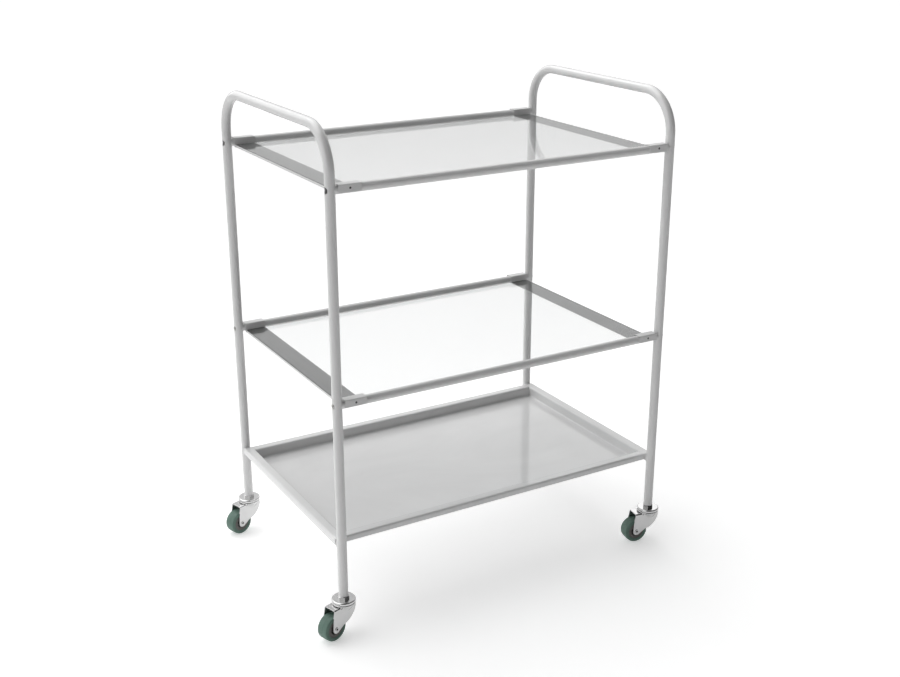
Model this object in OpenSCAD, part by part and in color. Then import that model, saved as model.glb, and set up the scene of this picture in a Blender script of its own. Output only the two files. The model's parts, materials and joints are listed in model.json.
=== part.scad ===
// Rolling trolley: two tube hoops joined by rails, two glass shelves, a bottom tray, four casters.
// +X runs along the front, +Y to the rear, +Z up. The origin is on the floor, midway between the
// four legs. Lengths are in millimetres.

/* [Frame] */
// Distance between the centre lines of the two side hoops
frame_w = 704; // [560:1:860]
// Distance between the centre lines of the front and rear legs
frame_d = 463; // [380:1:560]
// Height of the hoops' top centre line above the floor
hoop_z = 928; // [900:1:1000]
// Bend radius of a hoop's centre line
hoop_bend_r = 75; // [50:1:90]
// Outside diameter of the hoop tube
leg_d = 18; // [18:0.5:20]
// Wall of the hoop tube
leg_wall = 1.5; // [1.2:0.1:1.8]
// Outside diameter of the rails and the cross tubes
rail_d = 16; // [15:0.5:16]
// Wall of the rails and the cross tubes
rail_wall = 1.2; // [1:0.1:1.5]
// Height of the top rails' centre lines
top_rail_z = 829; // [760:1:830]
// Height of the middle rails' centre lines
mid_rail_z = 452; // [400:1:520]

/* [Shelves] */
// Length of a shelf bracket along its rails
bracket_len = 42; // [30:1:60]
// Sheet thickness of the brackets
bracket_t = 1; // [0.8:0.1:1.2]
// Gap between a bracket and the legs
bracket_gap = 2.5; // [1:0.5:6]
// How far the brackets' outer flanges reach below the rails' centre lines
flange_drop = 4.7; // [3.5:0.1:7]
// Glass thickness
glass_t = 4; // [4:0.5:6]
// Corner radius of the glass
glass_corner_r = 3; // [1:0.5:8]

/* [Tray] */
// Height of the tray's rim
tray_rim_z = 190; // [185:1:200]
// Depth of the tray's pan below the rim
tray_depth = 21; // [15:1:30]
// Width of the tray's flat rim
tray_rim_w = 20; // [19:1:26]
// Height of the turned-down edge
tray_lip = 11.5; // [9:0.5:14]
// Sheet thickness of the tray
tray_t = 1; // [0.8:0.1:1.2]
// Outside bend radius of the tray
tray_bend_r = 4; // [3:0.5:5]

/* [Casters] */
// Wheel diameter
wheel_d = 50; // [46:1:52]
// Width across the tyre
tyre_w = 23.4; // [20:0.2:23.4]
// Distance of the axle behind the swivel axis
trail = 31; // [30:0.5:33]
// Width across the outside of the fork
fork_w = 28; // [28:0.5:30]
// Sheet thickness of the fork
fork_t = 1.6; // [1.4:0.1:1.6]
// Diameter of the swivel head
head_d = 45; // [44:0.5:48]
// Height of the swivel head's top face
head_z = 72; // [72:0.5:75]
// Height of the hexagon nut on the stem
nut_h = 5.5; // [5:0.5:8]
// Turn of the three trailing casters about their swivel axes
swivel_turn = 17; // [0:1:30]
// Turn of the front right caster about its swivel axis
swivel_turn_fr = -9; // [-30:1:0]

/* [Hidden] */
CORNERS = ["fl", "rl", "fr", "rr"];
CASTER_NODES = ["stem", "top_plate", "balls", "fork", "axle", "washers", "hub", "tread", "bush"];

$fn = 64;
fit = 0.02;
running = 0.06;
far = 2000;

leg_x = frame_w / 2;
leg_y = frame_d / 2;
leg_r = leg_d / 2;
leg_bore_r = leg_r - leg_wall;
leg_foot_z = head_z + nut_h;
hoop_bend_z = hoop_z - hoop_bend_r;
rail_r = rail_d / 2;
rail_bore_r = rail_r - rail_wall;
rail_zs = [top_rail_z, mid_rail_z];

bolt_r = 3;
bolt_seat_x = leg_x - (leg_bore_r - 1.6);
top_bolt_head_r = 4.5;
mid_bolt_head_r = 4;
bolt_head_h = 4;
mid_seat_x = leg_x + leg_r - bolt_head_h;
top_access_r = 6;
mid_access_r = 5;
mid_spacer_r = 4.4;

sheet_r = 2;
saddle_gap = 0.1;
saddle_in = rail_r + saddle_gap;
saddle_out = saddle_in + bracket_t;
bracket_x1 = leg_x - leg_r - bracket_gap;
bracket_x0 = bracket_x1 - bracket_len;
strip_z = -saddle_out + saddle_gap;
lip_up = 5;
strip_flat_y = leg_y - saddle_in - 2 * sheet_r;
grub_x = (bracket_x0 + bracket_x1) / 2;
grub_up = 2;
grub_r = 2;
grub_len = 6;
plug_x0 = grub_x + grub_r + 0.5;
bolt_tip_x = plug_x0 + 3;

glass_x = bracket_x1 - sheet_r - 0.1;
glass_y = leg_y - saddle_in - sheet_r - 0.2;
glass_gap = 0.15;

tray_x = leg_x + leg_r + 0.2;
tray_y = leg_y - leg_r - 0.35;
pan_x = tray_x - tray_rim_w;
pan_y = tray_y - tray_rim_w;
pan_z = tray_rim_z - tray_depth;
seam_w = 0.4;
seam_depth = 0.35;
cross_z = tray_rim_z - tray_t - 0.1 - rail_r;

wheel_r = wheel_d / 2;
tyre_bore_r = 17;
tyre_corner_r = 1.5;
hub_cup_r = 11;
hub_boss_r = 6.6;
hub_half = tyre_w / 2 - 0.8;
web_half = 4;
bush_r = 5;
axle_r = 3;
axle_bore_r = 2.1;
axle_head_r = 4;
axle_head_h = 0.8;
fork_in = fork_w / 2 - fork_t;
fork_out = fork_w / 2;
boss_half = tyre_w / 2;
washer_t = fork_in - boss_half - 0.2;

stem_r = 5;
stem_len = 32;
pivot_r = 4;
pivot_head_r = 8;
plate_t = 1.5;
plate_rim_z = head_z - 4.8;
crown_z = head_z - 6;
crown_r = head_d / 2 - 0.5;
shelf_z = crown_z - fork_t;
ball_r = 2.1;
ball_ring_r = 16.5;
ball_count = 20;
ball_z = (crown_z + head_z - plate_t) / 2;
shoulder_z = crown_z - 14.5;
fork_tail_x = -trail - 3.5;
fork_end_r = 8.2;
fork_bend_r = 3;
neck_x = -16;
notch_len = 4;

caster_turns = [swivel_turn, swivel_turn, swivel_turn_fr, swivel_turn + 180];
caster_spots = [[-leg_x, -leg_y], [-leg_x, leg_y], [leg_x, -leg_y], [leg_x, leg_y]];

// ---- helpers ----

// Turns a flat shape in X and Y upright into Y and Z, and extrudes it along X.
module along_x(length) {
  rotate([90, 0, 90]) linear_extrude(length, center = true) children();
}

// Turns a flat shape in X and Y upright into X and Z, and extrudes it along Y.
module along_y(length) {
  rotate([90, 0, 0]) linear_extrude(length, center = true) children();
}

// A rod along X from x0 to x1.
module rod_x(r, x0, x1) {
  translate([x0, 0, 0]) rotate([0, 90, 0]) cylinder(r = r, h = x1 - x0);
}

// A quarter of a bent sheet's section, in the quadrant that starts at the angle.
module sheet_bend(angle, outer, thick) {
  intersection() {
    difference() {
      circle(outer);
      circle(outer - thick);
    }
    rotate(angle) square(outer);
  }
}

// Half section of a round cap with its top edge rounded.
module cap_section(r, z0, z1, edge_r) {
  translate([0, z0]) square([r, z1 - z0 - edge_r]);
  translate([0, z0]) square([r - edge_r, z1 - z0]);
  translate([r - edge_r, z1 - edge_r]) intersection() {
    circle(edge_r);
    square(edge_r);
  }
}

// Repeats a part at the four places where a rail meets a leg, at one height.
module each_joint(z) {
  for (side = [-1, 1])
    for (end = [-1, 1])
      translate([0, end * leg_y, z])
        mirror([side < 0 ? 1 : 0, 0, 0])
          children();
}

// The legs as solid bars, to cut the ends of the tubes that meet them.
module legs_cut() {
  for (side = [-1, 1])
    for (end = [-1, 1])
      translate([side * leg_x, end * leg_y, 0]) cylinder(r = leg_r + fit, h = far);
}

// ---- frame ----

// The solid bar that a hoop's tube follows, standing in the plane x = 0.
module hoop_bar(r, foot_z) {
  for (flip = [0, 1]) mirror([0, flip, 0]) {
    translate([0, leg_y, foot_z]) cylinder(r = r, h = hoop_bend_z - foot_z);
    translate([0, leg_y - hoop_bend_r, hoop_bend_z])
      rotate([90, 0, 90]) rotate_extrude(angle = 90) translate([hoop_bend_r, 0]) circle(r);
  }
  top_half = leg_y - hoop_bend_r;
  translate([0, -top_half, hoop_z]) rotate([-90, 0, 0]) cylinder(r = r, h = 2 * top_half);
}

// A side hoop: the bolts pass its inner wall and are reached through holes in its outer wall.
module hoop(side) {
  color("gainsboro")
    mirror([side < 0 ? 1 : 0, 0, 0])
      translate([leg_x, 0, 0])
        difference() {
          hoop_bar(leg_r, leg_foot_z);
          hoop_bar(leg_bore_r, leg_foot_z - 1);
          for (end = [-1, 1]) {
            translate([0, end * leg_y, top_rail_z]) {
              rod_x(top_access_r, 0, leg_d);
              rod_x(bolt_r + 0.1, -leg_d, 0);
            }
            translate([0, end * leg_y, mid_rail_z]) {
              rod_x(mid_access_r, 0, leg_d);
              rod_x(bolt_r + 0.1, -leg_d, 0);
            }
          }
        }
}

// A long rail, with ends that fit round the legs and tapped holes for the bracket screws.
module rail(end, z) {
  color("gainsboro")
    difference() {
      translate([0, end * leg_y, z]) rod_x(rail_r, -leg_x, leg_x);
      translate([0, end * leg_y, z]) rod_x(rail_bore_r, -leg_x - 1, leg_x + 1);
      legs_cut();
      for (side = [-1, 1])
        translate([side * grub_x, end * leg_y, z + grub_up])
          rotate([-90 * end, 0, 0]) cylinder(r = grub_r + fit, h = leg_d);
    }
}

// A tube under each end of the tray, between the front and the rear leg.
module cross_tube(side) {
  color("gainsboro")
    difference() {
      translate([side * leg_x, -leg_y, cross_z])
        rotate([-90, 0, 0]) cylinder(r = rail_r, h = 2 * leg_y);
      translate([side * leg_x, -leg_y - 1, cross_z])
        rotate([-90, 0, 0]) cylinder(r = rail_bore_r, h = 2 * leg_y + 2);
      legs_cut();
    }
}

// Tapped plugs in the ends of the rails.
module rail_plugs() {
  color("dimgray")
    difference() {
      for (z = rail_zs)
        each_joint(z)
          difference() {
            rod_x(rail_bore_r - fit, plug_x0, leg_x);
            rod_x(bolt_r + fit, plug_x0 - 1, leg_x + 1);
          }
      legs_cut();
    }
}

// A socket-head bolt along X, with its head's seat at seat_x.
module rail_bolt(head_r, seat_x) {
  difference() {
    union() {
      rod_x(bolt_r, bolt_tip_x, seat_x + 0.5);
      rod_x(head_r, seat_x, seat_x + bolt_head_h);
    }
    translate([seat_x + bolt_head_h - 2.2, 0, 0])
      rotate([0, 90, 0]) cylinder(r = head_r * 0.62, h = 3, $fn = 6);
  }
}

module top_rail_bolts() {
  color("silver") each_joint(top_rail_z) rail_bolt(top_bolt_head_r, bolt_seat_x);
}

module mid_rail_bolts() {
  color("silver") each_joint(mid_rail_z) rail_bolt(mid_bolt_head_r, mid_seat_x);
}

// Sleeves inside the legs that carry the heads of the middle bolts near the outer wall.
module mid_spacers() {
  color("dimgray")
    each_joint(mid_rail_z)
      difference() {
        rod_x(mid_spacer_r, bolt_seat_x, mid_seat_x - fit);
        rod_x(bolt_r + fit, bolt_seat_x - 1, mid_seat_x + 1);
      }
}

// ---- shelves ----

// Section of a bracket at one rail, measured from the rail's centre, with the shelf towards -X.
module saddle_section() {
  bend = saddle_out - sheet_r;
  translate([saddle_in, -flange_drop]) square([bracket_t, bend + flange_drop]);
  translate([-bend, saddle_in]) square([2 * bend, bracket_t]);
  translate([bend, bend]) sheet_bend(0, sheet_r, bracket_t);
  translate([-bend, bend]) sheet_bend(90, sheet_r, bracket_t);
  translate([-saddle_out, strip_z + sheet_r])
    square([bracket_t, bend - strip_z - sheet_r]);
  translate([-saddle_in - sheet_r, strip_z + sheet_r]) sheet_bend(270, sheet_r, bracket_t);
  translate([-saddle_in - 2 * sheet_r, strip_z]) square([sheet_r, bracket_t]);
}

// A sheet bracket that hangs over both rails and carries one end of a glass shelf.
module bracket(side, z) {
  mid_x = (bracket_x0 + bracket_x1) / 2;
  flat_x = bracket_x1 - sheet_r;
  color("gainsboro")
    mirror([side < 0 ? 1 : 0, 0, 0])
      translate([0, 0, z])
        difference() {
          union() {
            for (flip = [0, 1])
              mirror([0, flip, 0])
                translate([mid_x, leg_y, 0]) along_x(bracket_len) saddle_section();
            translate([bracket_x0, -strip_flat_y, strip_z])
              cube([flat_x - bracket_x0, 2 * strip_flat_y, bracket_t]);
            translate([flat_x, 0, strip_z + sheet_r])
              along_y(2 * strip_flat_y) sheet_bend(270, sheet_r, bracket_t);
            translate([bracket_x1 - bracket_t, -strip_flat_y, strip_z + sheet_r])
              cube([bracket_t, 2 * strip_flat_y, lip_up - sheet_r]);
          }
          for (end = [-1, 1])
            translate([grub_x, end * leg_y, grub_up])
              rotate([-90 * end, 0, 0]) cylinder(r = grub_r + fit, h = leg_d);
        }
}

// Hexagon-socket grub screws that pin the brackets to the rails.
module bracket_screws() {
  color("dimgray")
    for (z = rail_zs)
      for (side = [-1, 1])
        for (end = [-1, 1])
          translate([side * grub_x, end * (leg_y + saddle_out - 0.2), z + grub_up])
            rotate([90 * end, 0, 0])
              difference() {
                cylinder(r = grub_r, h = grub_len);
                translate([0, 0, -1]) cylinder(r = 1.15, h = 3, $fn = 6);
              }
}

// A loose glass shelf that lies on two brackets.
module glass(z) {
  inner_x = glass_x - glass_corner_r;
  inner_y = glass_y - glass_corner_r;
  color("lightcyan", 0.5)
    translate([0, 0, z + strip_z + bracket_t + glass_gap])
      linear_extrude(glass_t) {
        square([2 * glass_x, 2 * inner_y], center = true);
        square([2 * inner_x, 2 * glass_y], center = true);
        for (side = [-1, 1])
          for (end = [-1, 1])
            translate([side * inner_x, end * inner_y]) circle(glass_corner_r);
      }
}

// ---- tray ----

// Half-width shape of a pan: rounded at the floor and flared out at the rim.
module pan_section(half, floor_z, floor_r, bend_z, flare, top_z) {
  translate([-half, floor_z + floor_r]) square([2 * half, top_z - floor_z - floor_r]);
  translate([-half + floor_r, floor_z]) square([2 * half - 2 * floor_r, floor_r + 1]);
  for (flip = [0, 1]) mirror([flip, 0]) {
    translate([half - floor_r, floor_z + floor_r]) circle(floor_r);
    difference() {
      translate([half - 1, bend_z]) square([flare + 1, top_z - bend_z]);
      translate([half + flare, bend_z]) circle(flare);
    }
  }
}

module pan(hx, hy, floor_z, floor_r, bend_z, flare, top_z) {
  intersection() {
    along_y(far) pan_section(hx, floor_z, floor_r, bend_z, flare, top_z);
    along_x(far) pan_section(hy, floor_z, floor_r, bend_z, flare, top_z);
  }
}

// Half-width shape of the rim: rounded at the top.
module rim_section(half, bottom_z, top_z, edge_r) {
  translate([-half, bottom_z]) square([2 * half, top_z - edge_r - bottom_z]);
  translate([-half + edge_r, bottom_z]) square([2 * half - 2 * edge_r, top_z - bottom_z]);
  for (flip = [0, 1])
    mirror([flip, 0]) translate([half - edge_r, top_z - edge_r]) circle(edge_r);
}

module rim(hx, hy, bottom_z, top_z, edge_r) {
  intersection() {
    along_y(far) rim_section(hx, bottom_z, top_z, edge_r);
    along_x(far) rim_section(hy, bottom_z, top_z, edge_r);
  }
}

// A folded sheet tray that rests on the two cross tubes, with seams where its rims meet.
module tray() {
  lip_z = tray_rim_z - tray_lip;
  bend_z = tray_rim_z - tray_bend_r;
  color("whitesmoke")
    difference() {
      union() {
        difference() {
          rim(tray_x, tray_y, lip_z, tray_rim_z, tray_bend_r);
          rim(tray_x - tray_t, tray_y - tray_t, lip_z - 1, tray_rim_z - tray_t,
              tray_bend_r - tray_t);
        }
        pan(pan_x + tray_t, pan_y + tray_t, pan_z - tray_t, tray_bend_r + tray_t,
            bend_z, tray_bend_r - tray_t, tray_rim_z - tray_t / 2);
      }
      pan(pan_x, pan_y, pan_z, tray_bend_r, bend_z, tray_bend_r, tray_rim_z + 1);
      for (side = [-1, 1])
        for (end = [-1, 1]) {
          translate([side * leg_x, end * tray_y, cross_z])
            rotate([90, 0, 0]) cylinder(r = rail_r + 0.15, h = 12, center = true);
          translate([side * leg_x - rail_r - 0.15, end * tray_y - 6, cross_z - 20])
            cube([rail_d + 0.3, 12, 20]);
          translate([side * pan_x - seam_w / 2, end > 0 ? pan_y : -pan_y - tray_rim_w - 1,
                     tray_rim_z - seam_depth])
            cube([seam_w, tray_rim_w + 1, 1]);
          translate([side * pan_x - seam_w / 2, end * tray_y - seam_depth, lip_z - 1])
            cube([seam_w, 2 * seam_depth, tray_lip + 2]);
        }
    }
}

// ---- casters ----

// Tapped sockets in the feet of the legs.
module leg_sockets() {
  color("dimgray")
    for (spot = caster_spots)
      translate([spot.x, spot.y, leg_foot_z])
        difference() {
          cylinder(r = leg_bore_r - fit, h = stem_len);
          translate([0, 0, -1]) cylinder(r = stem_r + fit, h = stem_len + 2);
        }
}

// Hexagon nuts between the swivel heads and the legs.
module stem_nuts() {
  corner_r = 10.9;
  color("silver")
    for (i = [0:3])
      translate([caster_spots[i].x, caster_spots[i].y, head_z])
        rotate(caster_turns[i] + 1)
          difference() {
            intersection() {
              cylinder(r = corner_r, h = nut_h - fit, $fn = 6);
              union() {
                cylinder(r = corner_r, h = nut_h - 1);
                translate([0, 0, nut_h - 1])
                  cylinder(r1 = corner_r, r2 = corner_r - 1.6, h = 1);
              }
            }
            translate([0, 0, -1]) cylinder(r = stem_r + fit, h = nut_h + 2);
          }
}

// Threaded stem with the swivel pin below it, riveted over inside the fork.
module stem() {
  color("silver") {
    translate([0, 0, head_z]) cylinder(r = stem_r, h = stem_len);
    translate([0, 0, crown_z - 3]) cylinder(r = pivot_r, h = head_z - crown_z + 3.5);
    translate([0, 0, crown_z - fork_t - 1.8]) cylinder(r = pivot_head_r, h = 1.6);
  }
}

// Pressed cap that covers the ball race.
module top_plate() {
  color("silver")
    rotate_extrude()
      difference() {
        cap_section(head_d / 2, plate_rim_z, head_z, 2.4);
        cap_section(head_d / 2 - plate_t, plate_rim_z - 1, head_z - plate_t, 1);
        translate([0, plate_rim_z - 1]) square([pivot_r + fit, 8]);
      }
}

module balls() {
  color("silver")
    for (i = [0:ball_count - 1])
      rotate(i * 360 / ball_count)
        translate([ball_ring_r, 0, ball_z])
          sphere(r = ball_r, $fn = 32);
}

// Side view of a fork plate: X forwards, Y up.
module plate_outline() {
  lead_r = 36.7;
  lead_x = -18.8;
  lead_z = 63.8;
  knee = [-12.4, 27.7];
  heel = [-26.5, 18.2];
  bend_z = shelf_z - fork_bend_r;
  translate([-trail, wheel_r]) circle(fork_end_r);
  polygon([[fork_tail_x, bend_z], [0, bend_z], [0, 40], knee, heel,
           [-trail, wheel_r], [-trail - fork_end_r, wheel_r + 1], [fork_tail_x - 3.6, 44]]);
  intersection() {
    translate([lead_x, lead_z]) circle(lead_r);
    polygon([[-15.5, crown_z - 1], [20, crown_z - 1], [20, 20], knee, [-15.5, 40]]);
  }
}

// Section of the fork's shelf, which bends down into the two plates.
module shelf_section() {
  flat = fork_w - 2 * fork_bend_r;
  translate([-flat / 2, shelf_z - fork_t]) square([flat, fork_t]);
  for (flip = [0, 1])
    mirror([flip, 0])
      translate([flat / 2, shelf_z - fork_bend_r]) sheet_bend(0, fork_bend_r, fork_t);
}

// Pressed fork: a round crown under the swivel head, a shelf behind it and two side plates.
module fork() {
  color("silver")
    difference() {
      union() {
        rotate_extrude()
          difference() {
            cap_section(crown_r, shelf_z - 0.5, crown_z, 1.5);
            cap_section(crown_r - fork_t, shelf_z - 1, crown_z - fork_t, 0.5);
          }
        difference() {
          rotate_extrude()
            polygon([[crown_r, shelf_z + 0.5], [fork_out, shoulder_z],
                     [fork_out - 2, shoulder_z], [crown_r - 2, shelf_z + 0.5]]);
          translate([-30, -fork_in, 0]) cube([30, 2 * fork_in, shelf_z + 1]);
          translate([-30, -30, 0]) cube([30 + neck_x, 60, shelf_z + 1]);
        }
        intersection() {
          for (flip = [0, 1])
            mirror([0, flip, 0])
              translate([0, fork_out - fork_t / 2, 0]) along_y(fork_t) plate_outline();
          union() {
            translate([-80, -30, 0]) cube([80, 60, shelf_z]);
            cylinder(r = crown_r - 0.1, h = 100);
          }
        }
        translate([(fork_tail_x - 10) / 2, 0, 0])
          along_x(-fork_tail_x - 10) shelf_section();
      }
      translate([0, 0, shelf_z - 4]) cylinder(r = pivot_r + running, h = 20);
      translate([0, 0, wheel_r]) translate([-trail, 0, 0])
        rotate([90, 0, 0]) cylinder(r = axle_r + fit, h = 40, center = true);
      for (end = [-1, 1])
        translate([neck_x - notch_len, end * fork_out - 1.8, shelf_z - 3.6])
          cube([notch_len, 3.6, 3.65]);
    }
}

module at_wheel() {
  translate([-trail, 0, wheel_r]) rotate([90, 0, 0]) children();
}

// Hollow rivet that the wheel turns on.
module axle() {
  half = fork_out + axle_head_h;
  color("silver")
    at_wheel()
      difference() {
        union() {
          cylinder(r = axle_r, h = 2 * half, center = true);
          for (flip = [0, 1])
            mirror([0, 0, flip])
              translate([0, 0, fork_out + fit]) cylinder(r = axle_head_r, h = axle_head_h - fit);
        }
        for (flip = [0, 1])
          mirror([0, 0, flip]) translate([0, 0, half - 5]) cylinder(r = axle_bore_r, h = 6);
      }
}

module washers() {
  color("dimgray")
    at_wheel()
      for (flip = [0, 1])
        mirror([0, 0, flip])
          translate([0, 0, fork_in - washer_t - 0.1])
            difference() {
              cylinder(r = 6, h = washer_t);
              translate([0, 0, -1]) cylinder(r = axle_r + fit, h = washer_t + 2);
            }
}

// Moulded wheel centre: rim, web and boss.
module hub() {
  color("dimgray")
    at_wheel()
      difference() {
        union() {
          cylinder(r = tyre_bore_r - fit, h = 2 * hub_half, center = true);
          cylinder(r = hub_boss_r, h = 2 * boss_half, center = true);
        }
        for (flip = [0, 1])
          mirror([0, 0, flip])
            translate([0, 0, web_half])
              difference() {
                cylinder(r = hub_cup_r, h = tyre_w);
                translate([0, 0, -1]) cylinder(r = hub_boss_r, h = tyre_w + 2);
              }
        cylinder(r = bush_r, h = 2 * tyre_w, center = true);
      }
}

module tread() {
  flat_half = tyre_w / 2 - tyre_corner_r;
  color("darkseagreen")
    at_wheel()
      rotate_extrude() {
        translate([tyre_bore_r, -tyre_w / 2])
          square([wheel_r - tyre_bore_r - tyre_corner_r, tyre_w]);
        translate([tyre_bore_r, -flat_half])
          square([wheel_r - tyre_bore_r, 2 * flat_half]);
        for (flip = [0, 1])
          mirror([0, flip])
            translate([wheel_r - tyre_corner_r, flat_half])
              intersection() {
                circle(tyre_corner_r);
                square(tyre_corner_r);
              }
      }
}

module bush() {
  color("darkgray")
    at_wheel()
      difference() {
        cylinder(r = bush_r - fit, h = 2 * boss_half - 0.1, center = true);
        cylinder(r = axle_r + running, h = 2 * tyre_w, center = true);
      }
}

module caster_piece(piece) {
  if (piece == "stem") stem();
  if (piece == "top_plate") top_plate();
  if (piece == "balls") balls();
  if (piece == "fork") fork();
  if (piece == "axle") axle();
  if (piece == "washers") washers();
  if (piece == "hub") hub();
  if (piece == "tread") tread();
  if (piece == "bush") bush();
}

hoop(-1);  // left_hoop
hoop(1);  // right_hoop
cross_tube(-1);  // left_cross_tube
cross_tube(1);  // right_cross_tube
rail(-1, top_rail_z);  // top_front_rail
rail(1, top_rail_z);  // top_rear_rail
rail(-1, mid_rail_z);  // mid_front_rail
rail(1, mid_rail_z);  // mid_rear_rail
rail_plugs();
top_rail_bolts();
mid_rail_bolts();
mid_spacers();
bracket(-1, top_rail_z);  // top_left_bracket
bracket(1, top_rail_z);  // top_right_bracket
bracket(-1, mid_rail_z);  // mid_left_bracket
bracket(1, mid_rail_z);  // mid_right_bracket
bracket_screws();
glass(top_rail_z);  // top_glass
glass(mid_rail_z);  // mid_glass
tray();
leg_sockets();
stem_nuts();
for (i = [0:3])
  for (piece = CASTER_NODES)
    translate([caster_spots[i].x, caster_spots[i].y, 0])
        rotate(caster_turns[i])
          caster_piece(piece);
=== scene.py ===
"""Looks of the rolling trolley: finishes, small details, floor, light and camera."""
import json
import math

import bmesh
import bpy
from mathutils import Matrix, Vector


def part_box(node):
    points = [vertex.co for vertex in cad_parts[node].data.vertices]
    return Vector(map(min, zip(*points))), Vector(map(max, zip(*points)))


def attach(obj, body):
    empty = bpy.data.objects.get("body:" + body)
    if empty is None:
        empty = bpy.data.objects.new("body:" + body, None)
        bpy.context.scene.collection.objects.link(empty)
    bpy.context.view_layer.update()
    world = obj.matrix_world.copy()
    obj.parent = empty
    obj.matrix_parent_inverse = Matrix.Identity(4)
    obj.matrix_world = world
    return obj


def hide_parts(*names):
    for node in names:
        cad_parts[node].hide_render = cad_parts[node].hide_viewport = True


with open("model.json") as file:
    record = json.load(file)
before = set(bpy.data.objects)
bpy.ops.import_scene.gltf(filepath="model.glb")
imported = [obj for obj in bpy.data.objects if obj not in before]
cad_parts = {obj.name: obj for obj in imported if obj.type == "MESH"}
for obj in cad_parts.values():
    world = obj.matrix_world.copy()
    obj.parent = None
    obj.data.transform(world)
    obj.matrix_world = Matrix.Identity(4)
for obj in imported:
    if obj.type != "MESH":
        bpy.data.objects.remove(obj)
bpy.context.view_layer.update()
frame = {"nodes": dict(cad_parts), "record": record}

NODES = frame["nodes"]
CORNERS = ("fl", "rl", "fr", "rr")
ENDS = ("left", "right")
MM = 0.001


# ---------------------------------------------------------------- camera

SENSOR_WIDTH = 36.0
LENS = 49.39
CAMERA_PLACE = (-1.1703, -2.0164, 1.2859)
CAMERA_TILT, CAMERA_TURN = 69.99, -30.30


def make_camera():
    """The main viewpoint: from the front left, a little above the handles."""
    data = bpy.data.cameras.new("camera")
    data.sensor_width = SENSOR_WIDTH
    data.lens = LENS
    camera = bpy.data.objects.new("camera", data)
    camera.location = CAMERA_PLACE
    camera.rotation_euler = (math.radians(CAMERA_TILT), 0.0, math.radians(CAMERA_TURN))
    bpy.context.scene.collection.objects.link(camera)
    bpy.context.scene.camera = camera


# ---------------------------------------------------------------- node helpers

# The range that most of a noise's values lie in
NOISE_LOW, NOISE_HIGH = 0.3, 0.7
# The colour sockets of a Mix node
MIX_FIRST, MIX_SECOND, MIX_RESULT = 6, 7, 2
# The smallest upward part of the normal of a face that counts as facing up
FACING_UP = 0.5


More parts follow.
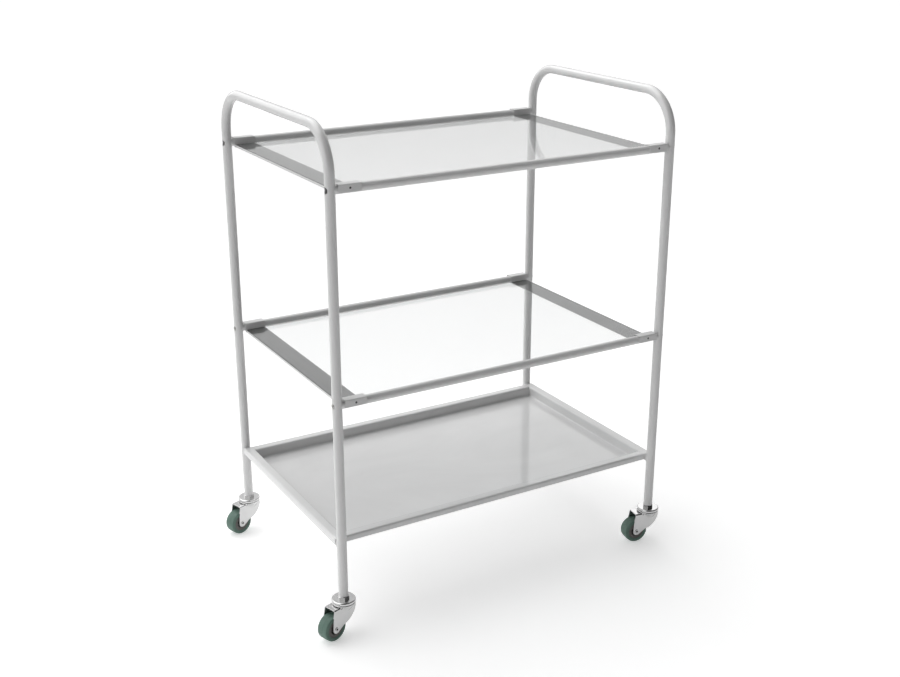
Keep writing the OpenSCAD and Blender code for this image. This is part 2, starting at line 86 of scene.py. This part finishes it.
class Graph:
    """A node tree, with short ways to add and join nodes."""

    def __init__(self, owner):
        owner.use_nodes = True
        self.tree = owner.node_tree
        self.tree.nodes.clear()
        is_world = isinstance(owner, bpy.types.World)
        self.output = self.add("ShaderNodeOutputWorld" if is_world else "ShaderNodeOutputMaterial")
        self.owner = owner

    def add(self, kind, **values):
        node = self.tree.nodes.new(kind)
        for key, value in values.items():
            setattr(node, key, value)
        return node

    def join(self, source, target):
        self.tree.links.new(source, target)

    def place(self):
        """Object coordinates, which are the frame's metres."""
        return self.add("ShaderNodeTexCoord").outputs["Object"]

    def math(self, operation, first, second=0.0):
        """The result of an operation on values, each a number or another node's output."""
        node = self.add("ShaderNodeMath", operation=operation)
        for value, slot in ((first, node.inputs[0]), (second, node.inputs[1])):
            if isinstance(value, bpy.types.NodeSocket):
                self.join(value, slot)
            else:
                slot.default_value = value
        return node.outputs[0]

    def shown(self):
        """1 for rays from the camera, straight or through glass, and 0 after any reflection."""
        path = self.add("ShaderNodeLightPath").outputs
        direct = self.math("MAXIMUM", path["Is Camera Ray"], path["Is Transmission Ray"])
        bounces = self.math("ADD", path["Glossy Depth"], path["Diffuse Depth"])
        return self.math("MULTIPLY", direct, self.math("LESS_THAN", bounces, 0.5))

    def noise(self, scale, detail=2.0, rough=0.5, stretch=None, distortion=0.0):
        """Noise with the given number of cells per metre."""
        vector = self.place()
        if stretch:
            mapping = self.add("ShaderNodeMapping")
            mapping.inputs["Scale"].default_value = stretch
            self.join(vector, mapping.inputs["Vector"])
            vector = mapping.outputs["Vector"]
        node = self.add("ShaderNodeTexNoise")
        node.inputs["Scale"].default_value = scale
        node.inputs["Detail"].default_value = detail
        node.inputs["Roughness"].default_value = rough
        node.inputs["Distortion"].default_value = distortion
        self.join(vector, node.inputs["Vector"])
        return node.outputs["Fac"]

    def between(self, fac, low, high, from_low=NOISE_LOW, from_high=NOISE_HIGH):
        """Carries a value from one range over to another."""
        node = self.add("ShaderNodeMapRange")
        node.inputs["From Min"].default_value = from_low
        node.inputs["From Max"].default_value = from_high
        node.inputs["To Min"].default_value = low
        node.inputs["To Max"].default_value = high
        self.join(fac, node.inputs["Value"])
        return node.outputs["Result"]

    def blend(self, fac, first, second):
        """Goes from the first colour to the second as fac goes from 0 to 1."""
        node = self.add("ShaderNodeMix", data_type="RGBA")
        for value, slot in ((first, node.inputs[MIX_FIRST]), (second, node.inputs[MIX_SECOND])):
            if isinstance(value, tuple):
                slot.default_value = (*value, 1.0)
            else:
                self.join(value, slot)
        self.join(fac, node.inputs[0])
        return node.outputs[MIX_RESULT]

    def glass_shadow_mask(self, half_x, half_y):
        """1 on upward faces within the given distances of the middle, and 0 elsewhere: where the
        painted shadow of the glass goes.
        """
        position = self.add("ShaderNodeSeparateXYZ")
        self.join(self.place(), position.inputs[0])
        normal = self.add("ShaderNodeSeparateXYZ")
        self.join(self.add("ShaderNodeNewGeometry").outputs["True Normal"], normal.inputs[0])
        inside = self.math("GREATER_THAN", normal.outputs["Z"], FACING_UP)
        for axis, half in (("X", half_x), ("Y", half_y)):
            near = self.math("LESS_THAN", self.math("ABSOLUTE", position.outputs[axis]), half)
            inside = self.math("MULTIPLY", inside, near)
        return inside

    def bump(self, height, distance, normal=None):
        """Raises the surface by up to the given distance, in metres, on top of another bump."""
        node = self.add("ShaderNodeBump")
        node.inputs["Distance"].default_value = distance
        node.inputs["Strength"].default_value = 1.0
        self.join(height, node.inputs["Height"])
        if normal is not None:
            self.join(normal, node.inputs["Normal"])
        return node.outputs["Normal"]

    def principled(self, **values):
        """The surface shader, with a number, a colour or another node's output for each socket."""
        node = self.add("ShaderNodeBsdfPrincipled")
        for key, value in values.items():
            slot = node.inputs[key.replace("_", " ")]
            if isinstance(value, bpy.types.NodeSocket):
                self.join(value, slot)
            elif isinstance(value, tuple) and len(value) == 3:
                slot.default_value = (*value, 1.0)
            else:
                slot.default_value = value
        self.join(node.outputs[0], self.output.inputs["Surface"])
        return node


# ---------------------------------------------------------------- finishes

# Noises below are given by their cells per metre, and heights in metres.
# Painted shadow: the darker colour the bracket paint takes where a glass shelf lies over it
GLASS_SHADOW_PAINT = (0.18, 0.18, 0.18)
PEEL_CELLS, PEEL_HEIGHT = 500.0, 0.000004
CLOUD_CELLS, CLOUD_SHADE = 9.0, 0.965
SATIN_CELLS, SATIN_SPREAD = 24.0, 0.03
BLOTCH_CELLS, BLOTCH_SHADE = 4.5, 0.90
BLOTCH_STRETCH, BLOTCH_SWIRL = (0.7, 1.0, 1.0), 1.2
SWELL_CELLS, SWELL_STRETCH, SWELL_SWIRL = 3.2, (0.6, 1.0, 1.0), 0.3
RIPPLE_CELLS, RIPPLE_SHARE = 11.0, 0.12


def shade(colour, factor):
    """The same colour, made darker by a factor."""
    return tuple(part * factor for part in colour)


def paint(name, colour, rough, coat, coat_rough, waves=0.0, glass_shadow_area=None):
    """Powder coat: fine orange peel, faint cloudiness, and soft blotches and slow waves of the
    given height on a large sheet. Where a glass shelf lies on it, the paint is darker: a painted
    shadow of the glass."""
    g = Graph(bpy.data.materials.new(name))
    cloud = g.between(g.noise(CLOUD_CELLS, detail=3.0), 0.0, 1.0)
    tint = g.blend(cloud, shade(colour, CLOUD_SHADE), colour)
    if glass_shadow_area:
        # painted shadow: upward faces under the glass take a darker colour in place of the light the
        # glass keeps off
        tint = g.blend(g.glass_shadow_mask(*glass_shadow_area), tint, GLASS_SHADOW_PAINT)
    normal = g.bump(g.noise(PEEL_CELLS, detail=1.0), PEEL_HEIGHT)
    if waves:
        blotch = g.noise(BLOTCH_CELLS, detail=4.0, rough=0.55, stretch=BLOTCH_STRETCH,
                         distortion=BLOTCH_SWIRL)
        tint = g.blend(g.between(blotch, 0.0, 1.0), shade(colour, BLOTCH_SHADE), tint)
        swell = g.noise(SWELL_CELLS, detail=1.0, stretch=SWELL_STRETCH, distortion=SWELL_SWIRL)
        normal = g.bump(swell, waves, normal)
        normal = g.bump(g.noise(RIPPLE_CELLS, detail=1.0), waves * RIPPLE_SHARE, normal)
    satin = g.noise(SATIN_CELLS, detail=3.0)
    roughness = g.between(satin, rough - SATIN_SPREAD, rough + SATIN_SPREAD)
    g.principled(Base_Color=tint, Roughness=roughness, Coat_Weight=coat, Coat_Roughness=coat_rough,
                 Normal=normal)
    return g.owner


DRIFT_CELLS, DRIFT_SHADE = 30.0, 0.93
HAZE_CELLS, HAZE_LOW, HAZE_HIGH = 120.0, 0.7, 1.5
GRAIN_CELLS = 900.0


def plated(name, colour, rough, grain):
    """Plated steel: bright metal with faint haze, a grain of the given height and small colour
    drift."""
    g = Graph(bpy.data.materials.new(name))
    drift = g.between(g.noise(DRIFT_CELLS, detail=3.0), 0.0, 1.0)
    tint = g.blend(drift, shade(colour, DRIFT_SHADE), colour)
    haze = g.noise(HAZE_CELLS, detail=5.0, rough=0.6)
    roughness = g.between(haze, rough * HAZE_LOW, rough * HAZE_HIGH)
    normal = g.bump(g.noise(GRAIN_CELLS), grain)
    g.principled(Base_Color=tint, Roughness=roughness, Metallic=1.0, Normal=normal)
    return g.owner


MOTTLE_CELLS, MOTTLE_SHADE = 70.0, 0.9
DUST_CELLS, DUST_MOST = 260.0, 0.22
DUST_LOW, DUST_HIGH = 0.5, 0.8
PORE_CELLS, PORE_HEIGHT = 2400.0, 0.00004
DIMPLE_CELLS, DIMPLE_HEIGHT = 160.0, 0.00008
RUBBER_CELLS, RUBBER_ROUGH = 90.0, (0.5, 0.68)


def rubber(name, colour, dust):
    """Matt tyre: fine grain, soft mottling and a little dust."""
    g = Graph(bpy.data.materials.new(name))
    mottle = g.between(g.noise(MOTTLE_CELLS, detail=4.0), 0.0, 1.0)
    base = g.blend(mottle, shade(colour, MOTTLE_SHADE), colour)
    specks = g.noise(DUST_CELLS, detail=6.0, rough=0.7)
    dusty = g.between(specks, 0.0, DUST_MOST, DUST_LOW, DUST_HIGH)
    tint = g.blend(dusty, base, dust)
    normal = g.bump(g.noise(PORE_CELLS), PORE_HEIGHT)
    normal = g.bump(g.noise(DIMPLE_CELLS, detail=3.0), DIMPLE_HEIGHT, normal)
    roughness = g.between(g.noise(RUBBER_CELLS, detail=3.0), *RUBBER_ROUGH)
    g.principled(Base_Color=tint, Roughness=roughness, Specular_IOR_Level=0.4, Normal=normal)
    return g.owner


FLOW_CELLS, FLOW_SHADE = 55.0, 0.86
SPARK_CELLS, SPARK_HEIGHT = 3000.0, 0.00003
PLASTIC_CELLS, PLASTIC_ROUGH = 140.0, (0.42, 0.58)


def moulded(name, colour):
    """Dull moulded plastic with a fine spark-eroded grain."""
    g = Graph(bpy.data.materials.new(name))
    flow = g.between(g.noise(FLOW_CELLS, detail=3.0), 0.0, 1.0)
    tint = g.blend(flow, shade(colour, FLOW_SHADE), colour)
    normal = g.bump(g.noise(SPARK_CELLS, detail=1.0), SPARK_HEIGHT)
    roughness = g.between(g.noise(PLASTIC_CELLS), *PLASTIC_ROUGH)
    g.principled(Base_Color=tint, Roughness=roughness, Normal=normal)
    return g.owner


GLASS_IOR = 1.5
GLASS_SHADE = (0.86, 0.865, 0.865)
GLASS_FACE = (0.908, 0.914, 0.913)
GLASS_EDGE = (0.45, 0.60, 0.56)
EDGE_ON, FLAT_ON = 0.2, 0.8
WIPE_CELLS, WIPE_STRETCH, WIPE_ROUGH = 14.0, (1.0, 0.35, 1.0), 0.03
WIPE_LOW, WIPE_HIGH = 0.45, 0.8


def glass(name):
    """Clear float glass, greener through its edges, with faint wipe marks. Soft light passes it."""
    g = Graph(bpy.data.materials.new(name))
    normal = g.add("ShaderNodeSeparateXYZ")
    g.join(g.add("ShaderNodeNewGeometry").outputs["True Normal"], normal.inputs[0])
    flat = g.math("ABSOLUTE", normal.outputs["Z"])
    tint = g.blend(g.between(flat, 0.0, 1.0, EDGE_ON, FLAT_ON), GLASS_EDGE, GLASS_FACE)
    wiped = g.noise(WIPE_CELLS, detail=6.0, rough=0.65, stretch=WIPE_STRETCH)
    marks = g.between(wiped, 0.0, WIPE_ROUGH, WIPE_LOW, WIPE_HIGH)
    shader = g.principled(Base_Color=tint, Roughness=marks, Transmission_Weight=1.0, IOR=GLASS_IOR)
    clear = g.add("ShaderNodeBsdfTransparent")
    clear.inputs["Color"].default_value = (*GLASS_SHADE, 1.0)
    path = g.add("ShaderNodeLightPath").outputs
    # soft light meets a thin pane, which passes it straight apart from what its faces mirror
    mirror = g.add("ShaderNodeBsdfGlossy")
    mirror.inputs["Roughness"].default_value = 0.0
    pane = g.add("ShaderNodeMixShader")
    g.join(g.add("ShaderNodeFresnel").outputs[0], pane.inputs[0])
    g.join(clear.outputs[0], pane.inputs[1])
    g.join(mirror.outputs[0], pane.inputs[2])
    surface = shader.outputs[0]
    for ray, instead in (("Is Shadow Ray", clear), ("Is Diffuse Ray", pane)):
        mix = g.add("ShaderNodeMixShader")
        g.join(path[ray], mix.inputs[0])
        g.join(surface, mix.inputs[1])
        g.join(instead.outputs[0], mix.inputs[2])
        surface = mix.outputs[0]
    g.join(surface, g.output.inputs["Surface"])
    return g.owner


def finishes():
    """Every finish by its slot. The glass lies about the middle of the brackets, so its far corner
    says how much of them gets the painted shadow of the glass."""
    glass_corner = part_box("top_glass")[1]
    return {
        "frame_paint": paint("frame_paint", (0.735, 0.735, 0.735), rough=0.33, coat=0.9,
                             coat_rough=0.04),
        "bracket_paint": paint("bracket_paint", (0.72, 0.72, 0.72), rough=0.38, coat=0.0,
                               coat_rough=0.08, glass_shadow_area=(glass_corner[0], glass_corner[1])),
        "tray_paint": paint("tray_paint", (0.81, 0.81, 0.81), rough=0.33, coat=0.9,
                            coat_rough=0.08, waves=0.0008),
        "shelf_glass": glass("shelf_glass"),
        "fastener_steel": plated("fastener_steel", (0.66, 0.66, 0.64), rough=0.25, grain=0.00002),
        "dark_screw_steel": plated("dark_screw_steel", (0.10, 0.10, 0.10), rough=0.4, grain=0.00002),
        "inner_steel": plated("inner_steel", (0.30, 0.30, 0.30), rough=0.4, grain=0.00003),
        # painted shade: near-black finish of the cup that darkens the inside of each hollow rivet
        "bore_painted_shade": plated("bore_painted_shade", (0.05, 0.048, 0.045), rough=0.5, grain=0.00003),
        "caster_chrome": plated("caster_chrome", (0.69, 0.69, 0.69), rough=0.045, grain=0.000003),
        "caster_zinc": plated("caster_zinc", (0.62, 0.62, 0.615), rough=0.10, grain=0.000006),
        "ball_steel": plated("ball_steel", (0.78, 0.78, 0.78), rough=0.08, grain=0.00001),
        "bush_steel": plated("bush_steel", (0.50, 0.50, 0.49), rough=0.3, grain=0.00002),
        "hub_plastic": moulded("hub_plastic", (0.135, 0.128, 0.120)),
        "wheel_tyre": rubber("wheel_tyre", (0.125, 0.207, 0.170), dust=(0.26, 0.29, 0.27)),
    }


def dress_nodes(materials):
    """Gives each CAD node its finish by the record's slot."""
    for row in frame["record"]["subparts"]:
        node = NODES[row["node"]]
        node.data.materials.clear()
        node.data.materials.append(materials[row["material_slot"]])


# ---------------------------------------------------------------- edges

SAME_POINT = 0.002 * MM
BEVEL_SEGMENTS = 2
SHARP_ANGLE = 35.0
SHEET_EDGE, GLASS_ARRIS, NUT_EDGE, FORK_EDGE = 0.25 * MM, 0.4 * MM, 0.35 * MM, 0.2 * MM


def soften(node, width):
    """Joins the split corners of a node's mesh and rounds its sharp edges a little."""
    weld = node.modifiers.new("weld", "WELD")
    weld.merge_threshold = SAME_POINT
    bevel = node.modifiers.new("bevel", "BEVEL")
    bevel.width = width
    bevel.segments = BEVEL_SEGMENTS
    bevel.limit_method = "ANGLE"
    bevel.angle_limit = math.radians(SHARP_ANGLE)
    bevel.harden_normals = True
    bevel.use_clamp_overlap = True


def soften_edges():
    """Takes the sharpness off the cut sheet, the glass, the nuts and the forks."""
    for level in ("top", "mid"):
        for end in ENDS:
            soften(NODES[level + "_" + end + "_bracket"], SHEET_EDGE)
        soften(NODES[level + "_glass"], GLASS_ARRIS)
    soften(NODES["stem_nuts"], NUT_EDGE)
    for corner in CORNERS:
        soften(NODES[corner + "_fork"], FORK_EDGE)


# ---------------------------------------------------------------- added pieces

def make_piece(name, mesh, material, body):
    """Puts a mesh or curve into the scene as a piece that rides on a body."""
    piece = bpy.data.objects.new(name, mesh)
    bpy.context.scene.collection.objects.link(piece)
    mesh.materials.append(material)
    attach(piece, body)
    return piece


CREASE_ANGLE = 40.0


def lathe(name, profile, turns):
    """Turns a closed profile of (place along Y, radius) points about the Y axis, in the given
    number of steps."""
    b = bmesh.new()
    rings = []
    for turn in range(turns):
        angle = 2.0 * math.pi * turn / turns
        across = Vector((math.cos(angle), 0.0, math.sin(angle)))
        rings.append([b.verts.new(across * r + Vector((0.0, along, 0.0))) for along, r in profile])
    for first, second in zip(rings, rings[1:] + rings[:1]):
        for k in range(len(profile)):
            after = (k + 1) % len(profile)
            if profile[k][1] > 0.0 or profile[after][1] > 0.0:
                b.faces.new((first[k], first[after], second[after], second[k]))
    bmesh.ops.remove_doubles(b, verts=b.verts, dist=SAME_POINT / 2.0)
    bmesh.ops.recalc_face_normals(b, faces=b.faces)
    mesh = bpy.data.meshes.new(name)
    b.to_mesh(mesh)
    b.free()
    for face in mesh.polygons:
        face.use_smooth = True
    mesh.set_sharp_from_angle(angle=math.radians(CREASE_ANGLE))
    return mesh


def arc(along, r, radius, start, end, steps):
    """Points on an arc about (along, r), by angle in degrees from the Y axis outwards."""
    angles = [math.radians(start + (end - start) * k / steps) for k in range(steps + 1)]
    return [(along + radius * math.cos(a), r + radius * math.sin(a)) for a in angles]


TYRE_STEPS = 96
TYRE_HALF = 11.7 * MM
TYRE_BORE_R = 17.0 * MM
BORE_EDGE = 0.6 * MM
SHOULDER_R, SHOULDER_END, SHOULDER_STEPS = 2.2 * MM, 84.0, 10
CROWN_DROP = 0.35 * MM
LINE_HALF, LINE_UP = 0.25 * MM, 0.10 * MM
RING_R, RING_W, RING_DEEP = 18.6 * MM, 0.9 * MM, 0.3 * MM


def tyre_profile(wheel_r):
    """Closed section of a tyre: moulded ring in each sidewall, round shoulders, crowned tread
    and a raised parting line round its middle."""
    flat = TYRE_HALF - SHOULDER_R
    crown_r = wheel_r - LINE_UP
    half = [(TYRE_HALF - BORE_EDGE, TYRE_BORE_R), (TYRE_HALF, TYRE_BORE_R + BORE_EDGE),
            (TYRE_HALF, RING_R), (TYRE_HALF - RING_DEEP, RING_R + RING_DEEP),
            (TYRE_HALF - RING_DEEP, RING_R + RING_W - RING_DEEP), (TYRE_HALF, RING_R + RING_W)]
    half += arc(flat, crown_r - CROWN_DROP - SHOULDER_R, SHOULDER_R, 0.0, SHOULDER_END,
                SHOULDER_STEPS)
    for step in (0.75, 0.5, 0.25):
        half.append((flat * step, crown_r - CROWN_DROP * step * step))
    half += [(LINE_HALF, crown_r), (LINE_HALF * 0.5, wheel_r)]
    return half + [(-along, r) for along, r in reversed(half)]


BORE_STEPS = 24
RIVET_R = 2.0 * MM
RIVET_DEEP = 4.6 * MM
RIVET_HALF = 14.9 * MM
RIVET_WALL = 0.25 * MM


def rivet_bore_profile(side):
    """Closed section of a thin near-black cup that lines the open end of a hollow rivet: painted shade
    inside the hole.
    """
    rim, floor, skin = side * RIVET_HALF, side * (RIVET_HALF - RIVET_DEEP), side * RIVET_WALL
    return [(rim, RIVET_R), (floor, RIVET_R), (floor, 0.0), (floor + skin, 0.0),
            (floor + skin, RIVET_R - RIVET_WALL), (rim, RIVET_R - RIVET_WALL)]


def add_wheel_details(materials):
    """A moulded tyre in place of each plain one, and a near-black cup in the bore of each hollow
    rivet axle, as painted shade of the hole.
    """
    places = {row["name"]: row for row in frame["record"]["behaviour"]["joints"]}
    for corner in CORNERS:
        joint = places[corner + "_wheel_spin"]
        centre = Vector(joint["pos_m"])
        turn = Vector((0.0, 1.0, 0.0)).rotation_difference(Vector(joint["axis"])).to_matrix()
        place = Matrix.Translation(centre) @ turn.to_4x4()
        mesh = lathe(corner + "_tyre", tyre_profile(centre.z), TYRE_STEPS)
        mesh.transform(place)
        tyre = make_piece(corner + "_tyre", mesh, materials["wheel_tyre"], corner + "_wheel")
        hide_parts(corner + "_tread")
        for which, side in (("outer", -1.0), ("inner", 1.0)):
            name = corner + "_" + which + "_bore_painted_shade"
            mesh = lathe(name, rivet_bore_profile(side), BORE_STEPS)
            mesh.transform(place)
            # the dark cup paints the shade inside the hollow rivet
            make_piece(name, mesh, materials["bore_painted_shade"], corner + "_swivel")


BEAD_R = 1.1 * MM
BEAD_START, BEAD_END = 150.0, 390.0
BEAD_STEPS, BEAD_ROUNDING = 120, 3
BEAD_RIPPLES, BEAD_RIPPLE = 26, 0.14
BEAD_TIP, BEAD_TAPER = 0.25, 0.15


def add_welds(materials):
    """Weld beads under the tray, where each cross tube meets the two legs of its hoop."""
    for end in ENDS:
        low, high = (Vector(v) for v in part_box(end + "_cross_tube"))
        hoop_low, hoop_high = (Vector(v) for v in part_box(end + "_hoop"))
        middle = (low + high) / 2.0
        tube_r = (high.x - low.x) / 2.0
        leg_r = (hoop_high.x - hoop_low.x) / 2.0
        leg_y = hoop_high.y - leg_r
        for face, side in (("front", -1.0), ("rear", 1.0)):
            name = end + "_" + face + "_weld"
            curve = bpy.data.curves.new(name, "CURVE")
            curve.dimensions = "3D"
            curve.bevel_depth = BEAD_R
            curve.bevel_resolution = BEAD_ROUNDING
            curve.use_fill_caps = True
            spline = curve.splines.new("POLY")
            spline.points.add(BEAD_STEPS)
            for k, point in enumerate(spline.points):
                t = math.radians(BEAD_START + (BEAD_END - BEAD_START) * k / BEAD_STEPS)
                out = tube_r * math.cos(t)
                back = math.sqrt(leg_r * leg_r - out * out)
                point.co = (middle.x + out, side * (leg_y - back), middle.z + tube_r * math.sin(t), 1.0)
                taper = min(1.0, BEAD_TIP + BEAD_TAPER * min(k, BEAD_STEPS - k))
                wave = math.sin(BEAD_RIPPLES * 2.0 * math.pi * k / BEAD_STEPS)
                point.radius = taper * (1.0 + BEAD_RIPPLE * wave)
            make_piece(name, curve, materials["frame_paint"], "root")


# ---------------------------------------------------------------- stage

FLOOR_HALF = 40.0
FLOOR_GREY = 0.80
FLOOR_SEEN_GLOW = 0.445
FLOOR_BRIGHTEST = (-0.8, 0.2, 0.0)
FLOOR_NEAR, FLOOR_NEAR_GLOW = 0.8, 0.32
FLOOR_FAR, FLOOR_FAR_GLOW = 2.4, 0.0


def make_floor():
    """A white sweep: it glows a little, so that it stays white in the open and shades under
    the tray, and it lights the object less strongly than the camera sees it."""
    mesh = bpy.data.meshes.new("floor")
    b = bmesh.new()
    bmesh.ops.create_grid(b, x_segments=1, y_segments=1, size=FLOOR_HALF)
    b.to_mesh(mesh)
    b.free()
    floor = bpy.data.objects.new("floor", mesh)
    bpy.context.scene.collection.objects.link(floor)
    g = Graph(bpy.data.materials.new("floor"))
    glow = g.add("ShaderNodeEmission")
    distance = g.add("ShaderNodeVectorMath", operation="DISTANCE")
    distance.inputs[1].default_value = FLOOR_BRIGHTEST
    g.join(g.place(), distance.inputs[0])
    cast = g.between(distance.outputs["Value"], FLOOR_NEAR_GLOW, FLOOR_FAR_GLOW,
                     FLOOR_NEAR, FLOOR_FAR)
    seen = g.math("MULTIPLY", g.shown(), g.math("SUBTRACT", FLOOR_SEEN_GLOW, cast))
    g.join(g.math("ADD", seen, cast), glow.inputs["Strength"])
    matt = g.add("ShaderNodeBsdfDiffuse")
    matt.inputs["Color"].default_value = (FLOOR_GREY, FLOOR_GREY, FLOOR_GREY, 1.0)
    both = g.add("ShaderNodeAddShader")
    g.join(glow.outputs[0], both.inputs[0])
    g.join(matt.outputs[0], both.inputs[1])
    g.join(both.outputs[0], g.output.inputs["Surface"])
    g.owner.cycles.emission_sampling = "NONE"
    mesh.materials.append(g.owner)


# Soft lights of the studio: direction, the cosines where each begins and is full, and strength
SOFT_LIGHTS = (
    ((-0.25, 0.50, 1.00), 0.84, 0.90, 2.0),
    ((-1.0, 0.15, 0.25), 0.55, 0.85, 1.3),
    ((-0.17, 0.98, 0.32), 0.914, 0.97, 1.2),
    ((0.70, 0.55, 0.45), 0.951, 0.985, 0.12),
    ((0.497, 0.709, 0.50), 0.9863, 0.9986, 0.7),
    ((0.50, 0.86, 0.80), 0.75, 0.97, 0.42),
    ((0.50, 0.86, 0.10), 0.30, 0.80, 0.56),
    ((1.0, -0.20, 0.20), 0.50, 0.90, 0.12),
)
STUDIO_DARK = 0.035
BACKDROP_WHITE = 1.05
SOFTBOX_PLACE = (-0.15, 0.75, 2.55)
SOFTBOX_AIM = (0.0, 0.0, 0.6)
SOFTBOX_SIZE = 2.3
SOFTBOX_WATTS = 13.0


def make_softbox():
    """A square soft light close above the rear, which shades the floor under the tray."""
    data = bpy.data.lights.new("softbox", "AREA")
    data.shape = "SQUARE"
    data.size = SOFTBOX_SIZE
    data.energy = SOFTBOX_WATTS
    light = bpy.data.objects.new("softbox", data)
    light.location = SOFTBOX_PLACE
    away = Vector(SOFTBOX_PLACE) - Vector(SOFTBOX_AIM)
    light.rotation_euler = away.to_track_quat("Z", "Y").to_euler()
    light.visible_camera = False
    bpy.context.scene.collection.objects.link(light)


def make_world():
    """A dark studio with soft lights overhead, on the left and behind the object. The camera
    sees only a white backdrop."""
    world = bpy.data.worlds.new("studio")
    bpy.context.scene.world = world
    g = Graph(world)
    place = g.add("ShaderNodeTexCoord").outputs["Generated"]
    total = STUDIO_DARK
    for direction, begin, full, radiance in SOFT_LIGHTS:
        dot = g.add("ShaderNodeVectorMath", operation="DOT_PRODUCT")
        dot.inputs[1].default_value = Vector(direction).normalized()
        g.join(place, dot.inputs[0])
        soft = g.add("ShaderNodeMapRange", interpolation_type="SMOOTHSTEP")
        soft.inputs["From Min"].default_value = begin
        soft.inputs["From Max"].default_value = full
        soft.inputs["To Max"].default_value = radiance
        g.join(dot.outputs["Value"], soft.inputs["Value"])
        total = g.math("ADD", soft.outputs["Result"], total)
    lit = g.add("ShaderNodeBackground")
    g.join(total, lit.inputs["Strength"])
    seen = g.add("ShaderNodeBackground")
    seen.inputs["Color"].default_value = (1.0, 1.0, 1.0, 1.0)
    seen.inputs["Strength"].default_value = BACKDROP_WHITE
    mix = g.add("ShaderNodeMixShader")
    g.join(g.shown(), mix.inputs[0])
    g.join(lit.outputs[0], mix.inputs[1])
    g.join(seen.outputs[0], mix.inputs[2])
    g.join(mix.outputs[0], g.output.inputs["Surface"])


MOST_BOUNCES, GLASS_BOUNCES = 16, 12


def main():
    make_camera()
    scene = bpy.context.scene
    scene.view_settings.view_transform = "Standard"
    scene.cycles.max_bounces = MOST_BOUNCES
    scene.cycles.transmission_bounces = GLASS_BOUNCES
    make_world()
    make_softbox()
    make_floor()
    materials = finishes()
    dress_nodes(materials)
    soften_edges()
    add_wheel_details(materials)
    add_welds(materials)


main()
